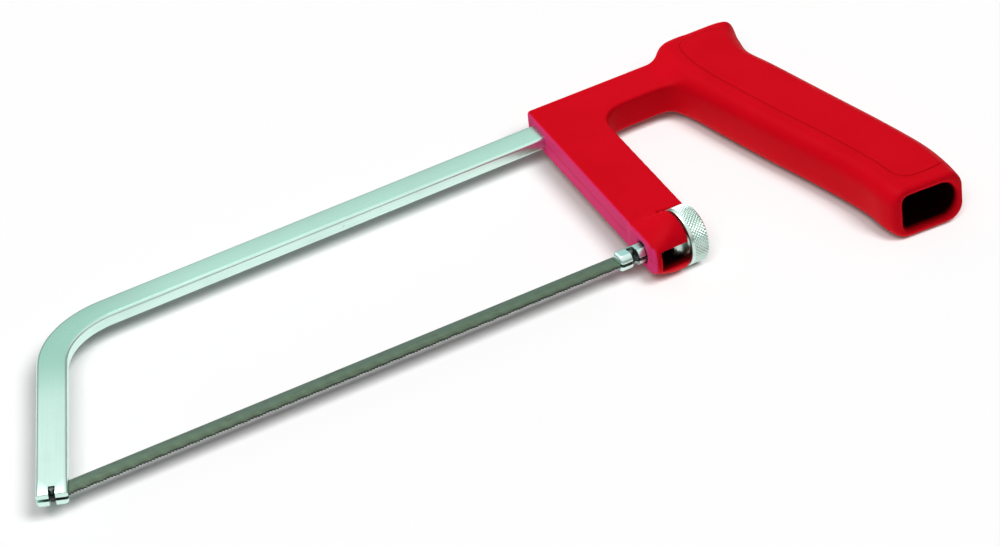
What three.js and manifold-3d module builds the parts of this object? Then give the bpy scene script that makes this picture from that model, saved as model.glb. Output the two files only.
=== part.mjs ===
// A pocket saw: a bent bar bow, a moulded handle and a pinned blade that a knurled nut pulls tight.
// Lengths are in millimetres. While the pieces are shaped, the front blade pin is at the origin, +X runs
// along the blade to the handle, +Y from the blade to the spine, and Z is up through the saw lying flat.
import * as THREE from "three";
import { mergeVertices } from "three/addons/utils/BufferGeometryUtils.js";
import Module from "manifold-3d";

const wasm = await Module();
wasm.setup();

// Blade and its two cross-pins
const PIN_SPACING = 150;
const PIN_RADIUS = 0.65;
const PIN_LENGTH = 3.4;
const PIN_HOLE_GAP = 0.2;
const BLADE_WIDTH = 4.7;
const BLADE_THICKNESS = 0.6;
const BLADE_FRONT_LAP = 2.4;
const BLADE_REAR_LAP = 1.8;
const TOOTH_PITCH = 0.8;
const TOOTH_DEPTH = 0.5;
const TOOTH_RAKE = 0.75;

// Bow: one bar with rounded edges, bent between its leg and its spine
const BAR_WIDTH = 7.2;
const BAR_THICKNESS = 3.4;
const BAR_EDGE_RADIUS = 0.9;
const LEG_LEAN = THREE.MathUtils.degToRad(25.8);
const LEG_OVERHANG = 1.9;
const BEND_RADIUS = 23;
const BEND_STEPS = 14;
const SPINE_Y = 57;
const SPINE_SLOPE = THREE.MathUtils.degToRad(0.9);
const TANG_END_X = 188;
const TANG_GAP = 0.3;

// Slits that hold the blade and its pins
const KERF = 1.1;
const LEG_KERF_DEPTH = 7.2;
const LEG_PIN_SLOT_WIDTH = 1.8;
const LEG_PIN_SLOT_DEPTH = LEG_OVERHANG + 0.95;

// Tension stud along the blade's line
const STUD_FRONT_X = 145.2;
const STUD_RADIUS = 2.4;
const STUD_FLAT = 2.05;
const STUD_CHAMFER = 0.6;
const STUD_SIDES = 20;
const STUD_KERF_END_X = 152.6;
const STUD_GROOVE_X = [149.1, 151.2];
const STUD_GROOVE_TOP_Y = 0.95;
const THREAD_START_X = 158.6;
const THREAD_END_X = 166.3;
const THREAD_PITCH = 0.7;
const THREAD_RADIUS = 1.95;
const THREAD_DEPTH = 0.4;
const THREAD_ROWS_IN_PITCH = 4;

// Knurled nut
const NUT_RADIUS = 7.4;
const NUT_X = [162.6, 167.2];
const NUT_BEVEL = 0.5;
const NUT_RIM = 0.5;
const KNURL_DEPTH = 0.35;
const KNURL_COUNT = 30;
const KNURL_ROWS = 6;
const HUB_RADIUS = 4.2;
const HUB_FRONT_X = 161.4;
const DISH_RADIUS = 6.3;
const DISH_DEPTH = 1;
const NUT_BORE_RADIUS = 2.25;

// Handle: post and bridge
const PLATE_HALF = 3.8;
const PLATE_EDGE = 0.9;
const POST_LEAN = THREE.MathUtils.degToRad(7.2);
const POST_FRONT_X = 153.6;
const POST_WIDTH = 13.85;
const POST_FOOT_Y = -4;
const BRIDGE_TOP_Y = 66.5;
const BRIDGE_CORNER = 1.6;
const ARCH_Y = 54.6;
const ARCH_FRONT_RADIUS = 8.5;
const ARCH_REAR_RADIUS = 6.5;
const ARCH_REAR_X = 198.6;
const ARCH_GRIP_LAP = 1;
const STEP_X = [196, 206];
const STEP_EASE = 0.45;
const GRIP_TOP_Y = 71;

// Handle: collar round the stud
const COLLAR_RADIUS = 7.2;
const COLLAR_REAR_X = 162;
const COLLAR_FLARE_POWER = 1.25;
const COLLAR_SIDES = 32;
const COLLAR_STEPS = 6;
const STUD_BORE_RADIUS = 2.7;
const CHANNEL_HALF = 2.5;
const CHANNEL_FRONT_X = 155;
const HUB_SEAT_RADIUS = 4.6;
const HUB_SEAT_X = 161.05;
const NUT_ROOM_RADIUS = 7.9;

// Handle: grip, as front and back edge points in pairs from the butt to the top
const GRIP_FRONT = [[206.9, -25.7], [206.2, -21], [206.4, -11], [204.6, 5], [201.9, 22],
  [199.2, 42], [198.2, 53], [198.9, 61.5], [201.4, 68]];
const GRIP_BACK = [[225.8, -26.7], [227.1, -19], [227.5, -9.5], [226.1, 5], [223.8, 22],
  [220.9, 43.5], [219.4, 53.4], [221, 60.8], [222.7, 68]];
const GRIP_HALF = 6.6;
const GRIP_NOSE_DEPTH = 5.5;
const GRIP_BACK_RADIUS = 3.5;
const GRIP_TOP_ROUND = 3;
const GRIP_ROWS = 26;
const HOLLOW_WALL = [2.6, 1.9];
const HOLLOW_HALF = 4.5;
const HOLLOW_NOSE_DEPTH = 1.6;
const HOLLOW_BACK_RADIUS = 4.3;
const HOLLOW_ROWS = 18;

// How far a cutting shape runs on past the face that it cuts
const CUT_PAST = 1;

const RED_PLASTIC = { color: 0xc8101c, roughness: 0.42, metalness: 0 };
const PLATED_STEEL = { color: 0xc4d2cb, roughness: 0.3, metalness: 0.9 };
const BLADE_STEEL = { color: 0x76877f, roughness: 0.4, metalness: 0.85 };

function solid(geometry) {
  const bare = geometry.clone();
  bare.deleteAttribute("normal");
  bare.deleteAttribute("uv");
  const merged = mergeVertices(bare, 1e-5);
  const mesh = new wasm.Mesh({
    numProp: 3,
    vertProperties: new Float32Array(merged.attributes.position.array),
    triVerts: new Uint32Array(merged.index.array),
  });
  return new wasm.Manifold(mesh);
}

function piece(name, body, look) {
  const mesh = body.getMesh();
  const geometry = new THREE.BufferGeometry();
  geometry.setAttribute("position", new THREE.BufferAttribute(mesh.vertProperties, 3));
  geometry.setIndex(new THREE.BufferAttribute(mesh.triVerts, 1));
  geometry.computeVertexNormals();
  const part = new THREE.Mesh(geometry, new THREE.MeshStandardMaterial(look));
  part.name = name;
  return part;
}

function box([x0, x1], [y0, y1], [z0, z1]) {
  const geometry = new THREE.BoxGeometry(x1 - x0, y1 - y0, z1 - z0);
  geometry.translate((x0 + x1) / 2, (y0 + y1) / 2, (z0 + z1) / 2);
  return geometry;
}

function rodAlongX(radius, [x0, x1], sides = 32) {
  const geometry = new THREE.CylinderGeometry(radius, radius, x1 - x0, sides);
  geometry.rotateZ(-Math.PI / 2);
  geometry.translate((x0 + x1) / 2, 0, 0);
  return geometry;
}

// A closed skin over rows of points, each row a ring of the same count, with a flat cap on both ends.
function skin(rows) {
  const count = rows[0].length;
  const points = rows.flat();
  const triangles = [];
  for (let row = 0; row + 1 < rows.length; row += 1) {
    for (let i = 0; i < count; i += 1) {
      const a = row * count + i;
      const b = row * count + (i + 1) % count;
      triangles.push(a, b, b + count, a, b + count, a + count);
    }
  }
  for (const [row, flip] of [[0, true], [rows.length - 1, false]]) {
    const centre = rows[row].reduce((sum, p) => sum.add(p), new THREE.Vector3()).divideScalar(count);
    points.push(centre);
    for (let i = 0; i < count; i += 1) {
      const a = row * count + i;
      const b = row * count + (i + 1) % count;
      triangles.push(points.length - 1, flip ? b : a, flip ? a : b);
    }
  }
  const geometry = new THREE.BufferGeometry().setFromPoints(points);
  geometry.setIndex(triangles);
  return geometry;
}

// A ring of points about the X axis, its radius a function of the turn from 0 to 1.
function ringAboutX(x, sides, radiusAt) {
  const ring = [];
  for (let i = 0; i < sides; i += 1) {
    const angle = (2 * Math.PI * i) / sides;
    const radius = radiusAt(i / sides, i);
    ring.push(new THREE.Vector3(x, radius * Math.cos(angle), radius * Math.sin(angle)));
  }
  return ring;
}

// The bow's centre line: the straight leg, the round bend and the straight spine, one step for each straight.
class BowLine extends THREE.Curve {
  constructor() {
    super();
    this.leg = new THREE.Vector3(Math.sin(LEG_LEAN), Math.cos(LEG_LEAN), 0);
    this.spine = new THREE.Vector3(Math.cos(SPINE_SLOPE), Math.sin(SPINE_SLOPE), 0);
    const reach = SPINE_Y / (this.leg.y - this.leg.x * Math.tan(SPINE_SLOPE));
    this.corner = this.leg.clone().multiplyScalar(reach);
    this.turn = Math.PI / 2 - LEG_LEAN - SPINE_SLOPE;
    this.tangentLength = BEND_RADIUS * Math.tan(this.turn / 2);
    this.bendStart = this.corner.clone().addScaledVector(this.leg, -this.tangentLength);
    this.legEnd = this.leg.clone().multiplyScalar(-LEG_OVERHANG);
    this.bendEnd = this.corner.clone().addScaledVector(this.spine, this.tangentLength);
    this.tangEnd = this.bendEnd.clone().addScaledVector(
      this.spine, (TANG_END_X - this.bendEnd.x) / this.spine.x);
  }

  bendAngle(t) {
    const share = (t * (BEND_STEPS + 2) - 1) / BEND_STEPS;
    return THREE.MathUtils.clamp(share, 0, 1) * this.turn;
  }

  getPoint(t, target = new THREE.Vector3()) {
    const step = t * (BEND_STEPS + 2);
    if (step <= 1) return target.lerpVectors(this.legEnd, this.bendStart, step);
    if (step >= BEND_STEPS + 1) {
      return target.lerpVectors(this.bendEnd, this.tangEnd, step - BEND_STEPS - 1);
    }
    const angle = this.bendAngle(t);
    const inward = new THREE.Vector3(this.leg.y, -this.leg.x, 0);
    target.copy(this.bendStart).addScaledVector(this.leg, BEND_RADIUS * Math.sin(angle));
    return target.addScaledVector(inward, BEND_RADIUS * (1 - Math.cos(angle)));
  }

  getTangent(t, target = new THREE.Vector3()) {
    return target.copy(this.leg).applyAxisAngle(new THREE.Vector3(0, 0, -1), this.bendAngle(t));
  }

  getUtoTmapping(u) {
    return u;
  }
}

function roundedRectangle(width, height, radius) {
  const shape = new THREE.Shape();
  const x = width / 2 - radius;
  const y = height / 2 - radius;
  shape.absarc(x, y, radius, 0, Math.PI / 2);
  shape.absarc(-x, y, radius, Math.PI / 2, Math.PI);
  shape.absarc(-x, -y, radius, Math.PI, 1.5 * Math.PI);
  shape.absarc(x, -y, radius, 1.5 * Math.PI, 2 * Math.PI);
  return shape;
}

function makeBow(line) {
  const section = roundedRectangle(BAR_THICKNESS, BAR_WIDTH, BAR_EDGE_RADIUS);
  const options = { steps: BEND_STEPS + 2, extrudePath: line, curveSegments: 4 };
  const bar = solid(new THREE.ExtrudeGeometry(section, options));
  const below = -LEG_OVERHANG - CUT_PAST;
  const kerf = box([-BAR_WIDTH, BAR_WIDTH], [below, LEG_KERF_DEPTH - LEG_OVERHANG], [-KERF / 2, KERF / 2]);
  const half = LEG_PIN_SLOT_WIDTH / 2;
  const through = [-BAR_THICKNESS, BAR_THICKNESS];
  const pinSlot = box([-half, half], [below, LEG_PIN_SLOT_DEPTH - LEG_OVERHANG], through);
  kerf.rotateZ(-LEG_LEAN);
  pinSlot.rotateZ(-LEG_LEAN);
  return bar.subtract(solid(kerf)).subtract(solid(pinSlot));
}

function makeBlade() {
  const top = BLADE_WIDTH / 2;
  const teethY = -BLADE_WIDTH / 2;
  const front = -BLADE_FRONT_LAP;
  const rear = PIN_SPACING + BLADE_REAR_LAP;
  const teeth = Math.floor((rear - front) / TOOTH_PITCH);
  const outline = new THREE.Shape();
  outline.moveTo(rear, top);
  outline.lineTo(front, top);
  for (let i = 0; i < teeth; i += 1) {
    outline.lineTo(front + i * TOOTH_PITCH, teethY + TOOTH_DEPTH);
    outline.lineTo(front + (i + TOOTH_RAKE) * TOOTH_PITCH, teethY);
  }
  outline.lineTo(rear, teethY + TOOTH_DEPTH);
  for (const x of [0, PIN_SPACING]) {
    const hole = new THREE.Path();
    hole.absarc(x, 0, PIN_RADIUS + PIN_HOLE_GAP, 0, 2 * Math.PI);
    outline.holes.push(hole);
  }
  const options = { depth: BLADE_THICKNESS, bevelEnabled: false, curveSegments: 16 };
  const strip = new THREE.ExtrudeGeometry(outline, options);
  strip.translate(0, 0, -BLADE_THICKNESS / 2);
  return solid(strip);
}

function makePin(x) {
  const pin = new THREE.CylinderGeometry(PIN_RADIUS, PIN_RADIUS, PIN_LENGTH, 16);
  pin.rotateX(Math.PI / 2);
  pin.translate(x, 0, 0);
  return solid(pin);
}

function makeStud() {
  const flatted = (radius) => (turn) => {
    const rise = Math.abs(Math.sin(2 * Math.PI * turn));
    return rise * radius > STUD_FLAT ? STUD_FLAT / rise : radius;
  };
  const rows = [
    ringAboutX(STUD_FRONT_X, STUD_SIDES, flatted(STUD_RADIUS - STUD_CHAMFER)),
    ringAboutX(STUD_FRONT_X + STUD_CHAMFER, STUD_SIDES, flatted(STUD_RADIUS)),
    ringAboutX(THREAD_START_X - STUD_CHAMFER, STUD_SIDES, flatted(STUD_RADIUS)),
  ];
  // The thread's depth runs from its crest to its root and back once in each pitch.
  const pitches = (THREAD_END_X - THREAD_START_X) / THREAD_PITCH;
  const rowCount = Math.round(pitches * THREAD_ROWS_IN_PITCH);
  for (let row = 0; row <= rowCount; row += 1) {
    const turns = row / THREAD_ROWS_IN_PITCH;
    rows.push(ringAboutX(THREAD_START_X + turns * THREAD_PITCH, STUD_SIDES, (turn) => {
      const phase = THREE.MathUtils.euclideanModulo(turns - turn, 1);
      return THREAD_RADIUS - THREAD_DEPTH * Math.abs(2 * phase - 1);
    }));
  }
  const across = [-2 * STUD_RADIUS, 2 * STUD_RADIUS];
  const kerf = box([STUD_FRONT_X - CUT_PAST, STUD_KERF_END_X], across, [-KERF / 2, KERF / 2]);
  const groove = box(STUD_GROOVE_X, [across[0], STUD_GROOVE_TOP_Y], across);
  return solid(skin(rows)).subtract(solid(kerf)).subtract(solid(groove));
}

function makeNut() {
  const sides = 2 * KNURL_COUNT;
  const [front, rear] = NUT_X;
  const rim = (x, radius) => ringAboutX(x, sides, () => radius);
  const rows = [
    rim(front, NUT_RADIUS - NUT_BEVEL),
    rim(front + NUT_BEVEL, NUT_RADIUS),
    rim(front + NUT_BEVEL + NUT_RIM, NUT_RADIUS),
  ];
  // Every second point of a knurled row is low, and the next row is half a step round, which gives diamonds.
  const knurlFront = front + NUT_BEVEL + NUT_RIM;
  const knurlStep = (rear - NUT_BEVEL - knurlFront) / (KNURL_ROWS + 1);
  for (let row = 1; row <= KNURL_ROWS; row += 1) {
    rows.push(ringAboutX(knurlFront + row * knurlStep, sides,
      (turn, i) => NUT_RADIUS - KNURL_DEPTH * ((i + row) % 2)));
  }
  rows.push(rim(rear - NUT_BEVEL, NUT_RADIUS - KNURL_DEPTH));
  rows.push(rim(rear, NUT_RADIUS - KNURL_DEPTH - NUT_BEVEL));
  const dish = rodAlongX(DISH_RADIUS, [front - CUT_PAST, front + DISH_DEPTH]);
  const hub = rodAlongX(HUB_RADIUS, [HUB_FRONT_X, (front + rear) / 2]);
  const bore = rodAlongX(NUT_BORE_RADIUS, [HUB_FRONT_X - CUT_PAST, rear + CUT_PAST], 24);
  return solid(skin(rows)).subtract(solid(dish)).add(solid(hub)).subtract(solid(bore));
}

function postFrontX(y) {
  return POST_FRONT_X + y * Math.tan(POST_LEAN);
}

function postRearX(y) {
  return postFrontX(y) + POST_WIDTH;
}

// The post and the bridge are one flat plate round the front and top of the finger gap.
function makePlate() {
  const outline = new THREE.Shape();
  const gripX = STEP_X[1] + GRIP_NOSE_DEPTH;
  const stepReach = STEP_EASE * (STEP_X[1] - STEP_X[0]);
  outline.moveTo(postFrontX(POST_FOOT_Y), POST_FOOT_Y);
  outline.lineTo(postRearX(POST_FOOT_Y), POST_FOOT_Y);
  outline.lineTo(postRearX(ARCH_Y - ARCH_FRONT_RADIUS), ARCH_Y - ARCH_FRONT_RADIUS);
  outline.quadraticCurveTo(postRearX(ARCH_Y), ARCH_Y, postRearX(ARCH_Y) + ARCH_FRONT_RADIUS, ARCH_Y);
  outline.lineTo(ARCH_REAR_X - ARCH_REAR_RADIUS, ARCH_Y);
  outline.quadraticCurveTo(ARCH_REAR_X, ARCH_Y, ARCH_REAR_X + ARCH_GRIP_LAP, ARCH_Y - ARCH_REAR_RADIUS);
  outline.lineTo(gripX, ARCH_Y - ARCH_REAR_RADIUS);
  outline.lineTo(gripX, GRIP_TOP_Y);
  outline.lineTo(STEP_X[1], GRIP_TOP_Y);
  outline.bezierCurveTo(STEP_X[1] - stepReach, GRIP_TOP_Y, STEP_X[0] + stepReach, BRIDGE_TOP_Y,
    STEP_X[0], BRIDGE_TOP_Y);
  outline.lineTo(postFrontX(BRIDGE_TOP_Y) + BRIDGE_CORNER, BRIDGE_TOP_Y);
  outline.quadraticCurveTo(postFrontX(BRIDGE_TOP_Y), BRIDGE_TOP_Y,
    postFrontX(BRIDGE_TOP_Y - BRIDGE_CORNER), BRIDGE_TOP_Y - BRIDGE_CORNER);
  const options = {
    depth: 2 * (PLATE_HALF - PLATE_EDGE),
    bevelThickness: PLATE_EDGE,
    bevelSize: PLATE_EDGE,
    bevelOffset: -PLATE_EDGE,
    bevelSegments: 3,
    curveSegments: 7,
  };
  const plate = new THREE.ExtrudeGeometry(outline, options);
  plate.translate(0, 0, PLATE_EDGE - PLATE_HALF);
  return solid(plate);
}

// The collar is round about the stud. From the post's slanted front face to its square rear face it flares
// sideways, from the post's thickness to its full width.
function makeCollar() {
  const rows = [];
  for (let step = 0; step <= COLLAR_STEPS; step += 1) {
    const share = step / COLLAR_STEPS;
    const half = PLATE_HALF + (COLLAR_RADIUS - PLATE_HALF) * share ** COLLAR_FLARE_POWER;
    rows.push(ringAboutX(0, COLLAR_SIDES, () => COLLAR_RADIUS).map((p) => new THREE.Vector3(
      THREE.MathUtils.lerp(postFrontX(p.y), COLLAR_REAR_X, share),
      p.y,
      THREE.MathUtils.clamp(p.z, -half, half))));
  }
  return solid(skin(rows));
}

// A cross-section of the grip is a round nose, two flat cheeks and a back with rounded corners. It lies
// between the front and back edges, held in from them by the two walls.
function gripSection(front, back, half, nose, corner, [frontWall, backWall]) {
  const width = front.distanceTo(back);
  const along = back.clone().sub(front).divideScalar(width);
  const ring = [];
  const add = (x, z) => ring.push(new THREE.Vector3(front.x + along.x * x, front.y + along.y * x, z));
  const noseSteps = 12;
  const cornerSteps = 4;
  for (let i = 0; i <= noseSteps; i += 1) {
    const angle = Math.PI * (i / noseSteps - 0.5);
    add(frontWall + nose * (1 - Math.cos(angle)), half * Math.sin(angle));
  }
  for (const side of [1, -1]) {
    for (let i = 0; i <= cornerSteps; i += 1) {
      const angle = (Math.PI / 2) * ((side > 0 ? 1 : 0) - i / cornerSteps);
      const x = width - backWall - corner * (1 - Math.cos(angle));
      add(x, side * (half - corner) + corner * Math.sin(angle));
    }
  }
  return ring;
}

function gripEdge(points) {
  return new THREE.SplineCurve(points.map(([x, y]) => new THREE.Vector2(x, y)));
}

const gripFront = gripEdge(GRIP_FRONT);
const gripBack = gripEdge(GRIP_BACK);

function makeGrip() {
  const rows = [];
  for (let row = 0; row <= GRIP_ROWS; row += 1) {
    const share = row / GRIP_ROWS;
    rows.push(gripSection(gripFront.getPoint(share), gripBack.getPoint(share), GRIP_HALF,
      GRIP_NOSE_DEPTH, GRIP_BACK_RADIUS, [0, 0]));
  }
  // The top closes over a quarter-round edge.
  const topSteps = 4;
  const lastFront = gripFront.getPoint(1);
  const lastBack = gripBack.getPoint(1);
  for (let step = 1; step <= topSteps; step += 1) {
    const angle = (Math.PI / 2) * (step / topSteps);
    const inset = GRIP_TOP_ROUND * (1 - Math.cos(angle));
    const lift = new THREE.Vector2(0, (GRIP_TOP_Y - lastFront.y) * Math.sin(angle));
    rows.push(gripSection(lastFront.clone().add(lift), lastBack.clone().add(lift), GRIP_HALF - inset,
      GRIP_NOSE_DEPTH - inset / 2, GRIP_BACK_RADIUS - inset / 2, [inset, inset]));
  }
  return solid(skin(rows));
}

// The grip's hollow follows its edges from the open butt up to below the bridge.
function makeHollow() {
  const rows = [];
  for (let row = 0; row <= HOLLOW_ROWS; row += 1) {
    const share = row / GRIP_ROWS;
    rows.push(gripSection(gripFront.getPoint(share), gripBack.getPoint(share), HOLLOW_HALF,
      HOLLOW_NOSE_DEPTH, HOLLOW_BACK_RADIUS, HOLLOW_WALL));
  }
  rows.unshift(rows[0].map((p) => p.clone().setY(p.y - HOLLOW_HALF)));
  return solid(skin(rows));
}

function makeHandle(line) {
  const body = makePlate().add(makeCollar()).add(makeGrip());
  const room = [COLLAR_REAR_X, postRearX(BRIDGE_TOP_Y)];
  const past = COLLAR_REAR_X + CUT_PAST;
  const seat = [HUB_SEAT_X, past];
  const bore = [postFrontX(-COLLAR_RADIUS) - CUT_PAST, past];
  const channel = box([CHANNEL_FRONT_X, past], [-COLLAR_RADIUS - CUT_PAST, 0], [-CHANNEL_HALF, CHANNEL_HALF]);
  const socketLength = line.tangEnd.x + TANG_GAP - line.bendEnd.x;
  const socket = box([0, socketLength], [-BAR_WIDTH / 2 - TANG_GAP, BAR_WIDTH / 2 + TANG_GAP],
    [-BAR_THICKNESS / 2 - TANG_GAP, BAR_THICKNESS / 2 + TANG_GAP]);
  socket.rotateZ(SPINE_SLOPE);
  socket.translate(line.bendEnd.x, line.bendEnd.y, 0);
  return body
    .subtract(solid(rodAlongX(NUT_ROOM_RADIUS, room, 48)))
    .subtract(solid(rodAlongX(STUD_BORE_RADIUS, bore)))
    .subtract(solid(rodAlongX(HUB_SEAT_RADIUS, seat)))
    .subtract(solid(channel))
    .subtract(solid(socket))
    .subtract(makeHollow());
}

const bowLine = new BowLine();
const saw = new THREE.Group();
saw.add(piece("bow", makeBow(bowLine), PLATED_STEEL));
saw.add(piece("handle", makeHandle(bowLine), RED_PLASTIC));
saw.add(piece("blade", makeBlade(), BLADE_STEEL));
saw.add(piece("blade_front_pin", makePin(0), BLADE_STEEL));
saw.add(piece("blade_rear_pin", makePin(PIN_SPACING), BLADE_STEEL));
saw.add(piece("tension_stud", makeStud(), PLATED_STEEL));
saw.add(piece("knurled_nut", makeNut(), PLATED_STEEL));

// The saw lies flat with its origin under the middle of its box.
const bounds = new THREE.Box3().setFromObject(saw, true);
const middle = bounds.getCenter(new THREE.Vector3());
saw.position.set(-middle.x, -middle.y, -bounds.min.z);

export default saw;
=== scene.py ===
import bpy
import numpy as np
from mathutils import Matrix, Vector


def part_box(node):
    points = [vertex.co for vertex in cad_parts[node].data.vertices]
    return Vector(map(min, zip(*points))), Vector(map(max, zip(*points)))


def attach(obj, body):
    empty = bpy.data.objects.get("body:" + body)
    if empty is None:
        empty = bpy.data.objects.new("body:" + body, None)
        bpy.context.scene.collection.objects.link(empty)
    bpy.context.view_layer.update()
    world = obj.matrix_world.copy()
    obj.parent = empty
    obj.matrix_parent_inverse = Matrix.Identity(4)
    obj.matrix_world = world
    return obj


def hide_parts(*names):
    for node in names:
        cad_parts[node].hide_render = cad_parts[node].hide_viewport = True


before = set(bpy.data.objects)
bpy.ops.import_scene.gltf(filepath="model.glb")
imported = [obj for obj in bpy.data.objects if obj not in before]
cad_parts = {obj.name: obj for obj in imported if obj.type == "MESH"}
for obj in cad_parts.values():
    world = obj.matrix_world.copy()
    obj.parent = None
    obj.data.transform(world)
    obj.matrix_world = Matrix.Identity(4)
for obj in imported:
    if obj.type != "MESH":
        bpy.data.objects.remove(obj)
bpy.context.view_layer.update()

# The bow is one flat steel bar with rounded edges, bent once between its leg and its spine, and zinc plated.
# Its tang is held in the handle. The leg's end is sawn lengthwise for the blade and across for its pin.
# Lengths here and below are millimetres from the blade's front pin, +X to the handle and +Y to the spine.
MM = 0.001
CREASE = 35
BAR_WIDTH = 7.2
BAR_THICKNESS = 3.4
BAR_EDGE_RADIUS = 0.9
BAR_EDGE_STEPS = 9
BAR_END_ROUND = 0.45
BAR_END_PLACES = (0, 0.3, 1)
BAR_END_INSETS = (1, 0.28)
LEG_LEAN = np.radians(25.8)
LEG_OVERHANG = 1.9
LEG_PLAIN_START = 4
LEG_STEPS = 12
BEND_RADIUS = 23
BEND_STEPS = 50
SPINE_Y = 57
SPINE_SLOPE = np.radians(0.9)
SPINE_STEPS = 24
TANG_END_X = 188
LEG_KERF = 0.75
LEG_KERF_DEPTH = 7.2
LEG_PIN_SLOT = 1.5
LEG_PIN_SLOT_DEPTH = LEG_OVERHANG + 0.9
CUT_PAST = 1
STREAK_LENGTH = 100
BAR_STREAKS = (2.5, 260, 1)
BAR_HAIRLINES = (9, 900, 1)
BAR_HAIRLINE_DEPTH = 0.006
BAR_PATCHES = 60
BAR_SPECKS = 900
BAR_SPECK_RANGE = (0.70, 0.78)
BAR_FLAT_RISE = (BAR_THICKNESS / 2 - 0.25, BAR_THICKNESS / 2 - 0.02)
# Stretches along the bar over which the painted reflection on the flats darkens towards the spine and in the
# bend.
SPINE_REFLECTION_RUN = (0, 0.75)
BEND_REFLECTION_RUN_IN = (0.35, 0.55)
BEND_REFLECTION_RUN_OUT = (0.7, 1.0)
# The edges' bright colour and the darker colours of the flats' painted reflection; the dull colour is the
# plate's own wear.
EDGE_TINT = (0.70, 0.93, 0.85)
FLAT_PAINTED_REFLECTION_TINT = (0.45, 0.75, 0.64)
BEND_PAINTED_REFLECTION_TINT = (0.34, 0.63, 0.52)
DULL_TINT = (0.42, 0.60, 0.53)

low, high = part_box("blade_front_pin")
front_pin = (np.array(low) + np.array(high)) / 2


def make_piece(name, points, *faces, crease=CREASE):
    """A mesh from points in millimetres round the front pin and arrays of face corners, one row a face.
    Edges that turn by more than the crease, in degrees, stay sharp."""
    corners = np.concatenate([group.ravel() for group in faces])
    sizes = np.concatenate([np.full(len(group), group.shape[1]) for group in faces])
    mesh = bpy.data.meshes.new(name)
    mesh.vertices.add(len(points))
    mesh.vertices.foreach_set("co", (points * MM + front_pin).astype(np.float32).ravel())
    mesh.loops.add(len(corners))
    mesh.loops.foreach_set("vertex_index", corners.astype(np.int32))
    mesh.polygons.add(len(sizes))
    mesh.polygons.foreach_set("loop_start", (np.cumsum(sizes) - sizes).astype(np.int32))
    mesh.update(calc_edges=True)
    mesh.shade_smooth()
    mesh.set_sharp_from_angle(angle=np.radians(crease))
    made = bpy.data.objects.new(name, mesh)
    bpy.context.scene.collection.objects.link(made)
    return made


def ring_faces(rows, count, loop=False):
    """Four-sided faces between neighbouring rings of points, and with loop from the last to the first."""
    ring = np.arange(rows * count).reshape(rows, count)
    after = np.roll(ring, -1, 1)
    ahead, ahead_after = np.roll(ring, -1, 0), np.roll(after, -1, 0)
    quads = np.stack([ring, after, ahead_after, ahead], -1)
    return quads[: rows if loop else rows - 1].reshape(-1, 4)


def end_faces(rows, count):
    """One many-sided face over the first ring, turned back, and one over the last."""
    ring = np.arange(count)[None]
    return ring[:, ::-1], ring + (rows - 1) * count


def rounded_ring(half_width, half_height, radius, steps):
    """Points round a rectangle, anticlockwise: at each corner a quarter circle of the radius."""
    quarters = np.arange(4)[:, None] * np.pi / 2 + np.linspace(0, np.pi / 2, steps)
    across = np.array([1, -1, -1, 1])[:, None] * (half_width - radius) + radius * np.cos(quarters)
    upward = np.array([1, 1, -1, -1])[:, None] * (half_height - radius) + radius * np.sin(quarters)
    return np.stack([across.ravel(), upward.ravel()], -1)


def block(x_range, y_range, z_range, lean=0):
    """A box for cutting, between pairs of places and turned clockwise by the lean about the front pin."""
    x = np.array(x_range)[[0, 1, 1, 0, 0, 1, 1, 0]]
    y = np.array(y_range)[[0, 0, 1, 1, 0, 0, 1, 1]]
    z = np.array(z_range)[[0, 0, 0, 0, 1, 1, 1, 1]]
    turned = [x * np.cos(lean) + y * np.sin(lean), y * np.cos(lean) - x * np.sin(lean), z]
    return make_piece("cutting_block", np.stack(turned, -1), ring_faces(2, 4), *end_faces(2, 4))


def cut(piece, *tools):
    """Takes each tool's solid out of the piece, throws the tool away and sharpens the new edges."""
    for tool in tools:
        step = piece.modifiers.new("cut", "BOOLEAN")
        step.object = tool
        step.solver = "EXACT"
        bpy.context.view_layer.objects.active = piece
        bpy.ops.object.modifier_apply(modifier=step.name)
        bpy.data.meshes.remove(tool.data)
    piece.data.set_sharp_from_angle(angle=np.radians(CREASE))


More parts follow.
